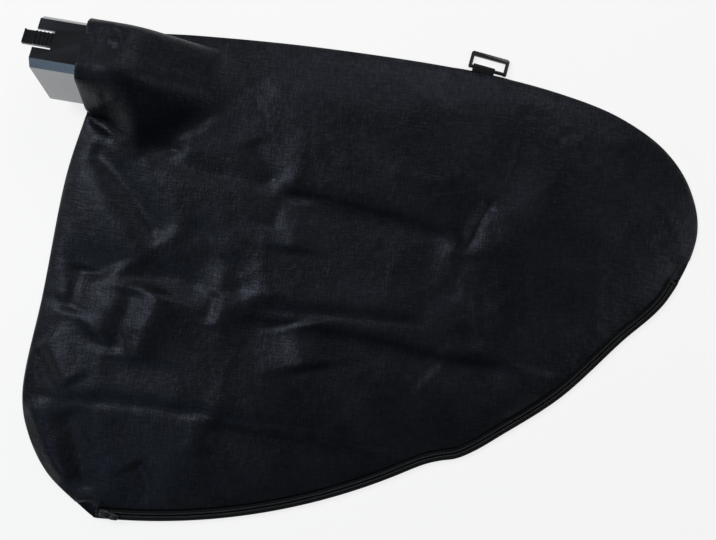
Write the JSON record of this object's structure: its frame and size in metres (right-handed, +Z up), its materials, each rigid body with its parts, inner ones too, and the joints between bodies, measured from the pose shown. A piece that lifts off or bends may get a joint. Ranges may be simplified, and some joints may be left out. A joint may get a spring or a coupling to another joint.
{
  "type": "leaf vacuum collection bag",
  "caption": "Black cloth collection bag for a leaf vacuum, lying flat: square plastic duct with a spring latch at its neck, zip along the curved edge, hanging loop on the straight edge.",
  "frame": {"origin": "middle of the part's box in X and Y, on the surface that the back panel lies on", "axes": "+X runs along the duct's axis from its mouth into the bag, +Y towards the straight top edge with the hanging loop, +Z up through the front panel"},
  "size_m": [0.7386, 0.5744, 0.098],
  "materials": {
    "coated_cloth": "black woven polyester with a thin coating, soft sheen",
    "duct_plastic": "black injection-moulded plastic, glossy",
    "band_plastic": "black moulded strap",
    "zip_tape": "black woven tape, matt",
    "coil_plastic": "black nylon coil",
    "black_metal": "black enamelled zinc",
    "pull_metal": "black enamelled zinc, worn bright at its tip",
    "loop_plastic": "black moulded plastic, satin",
    "webbing": "black woven webbing, matt"
  },
  "bodies": {
    "bag": {"front_panel": "coated_cloth", "back_panel": "coated_cloth", "duct": "duct_plastic", "neck_band": "band_plastic", "zip_tape_back": "zip_tape", "zip_tape_front": "zip_tape", "zip_coil_back": "coil_plastic", "zip_coil_front": "coil_plastic", "zip_top_stop_back": "black_metal", "zip_top_stop_front": "black_metal", "zip_bottom_stop": "black_metal", "webbing_tab": "webbing"},
    "zip_slider": {"zip_slider": "black_metal"},
    "zip_pull": {"zip_pull": "pull_metal"},
    "hanging_loop": {"hanging_loop": "loop_plastic"}
  },
  "joints": [
    {"name": "zip_travel", "type": "hinge", "parent": "bag", "child": "zip_slider", "pos_m": [-0.27512, 0.40745, 0], "axis": [0, 0, 1], "range_deg": [0, 25.7]},
    {"name": "pull_swing", "type": "hinge", "parent": "zip_slider", "child": "zip_pull", "pos_m": [-0.22139, -0.27986, 0.0094], "axis": [-0.131, -0.9914, 0], "range_deg": [0, 150]},
    {"name": "loop_swing", "type": "hinge", "parent": "bag", "child": "hanging_loop", "pos_m": [0.11216, 0.26827, 0.0038], "axis": [0.9945, -0.1045, 0], "range_deg": [0, 115]}
  ]
}
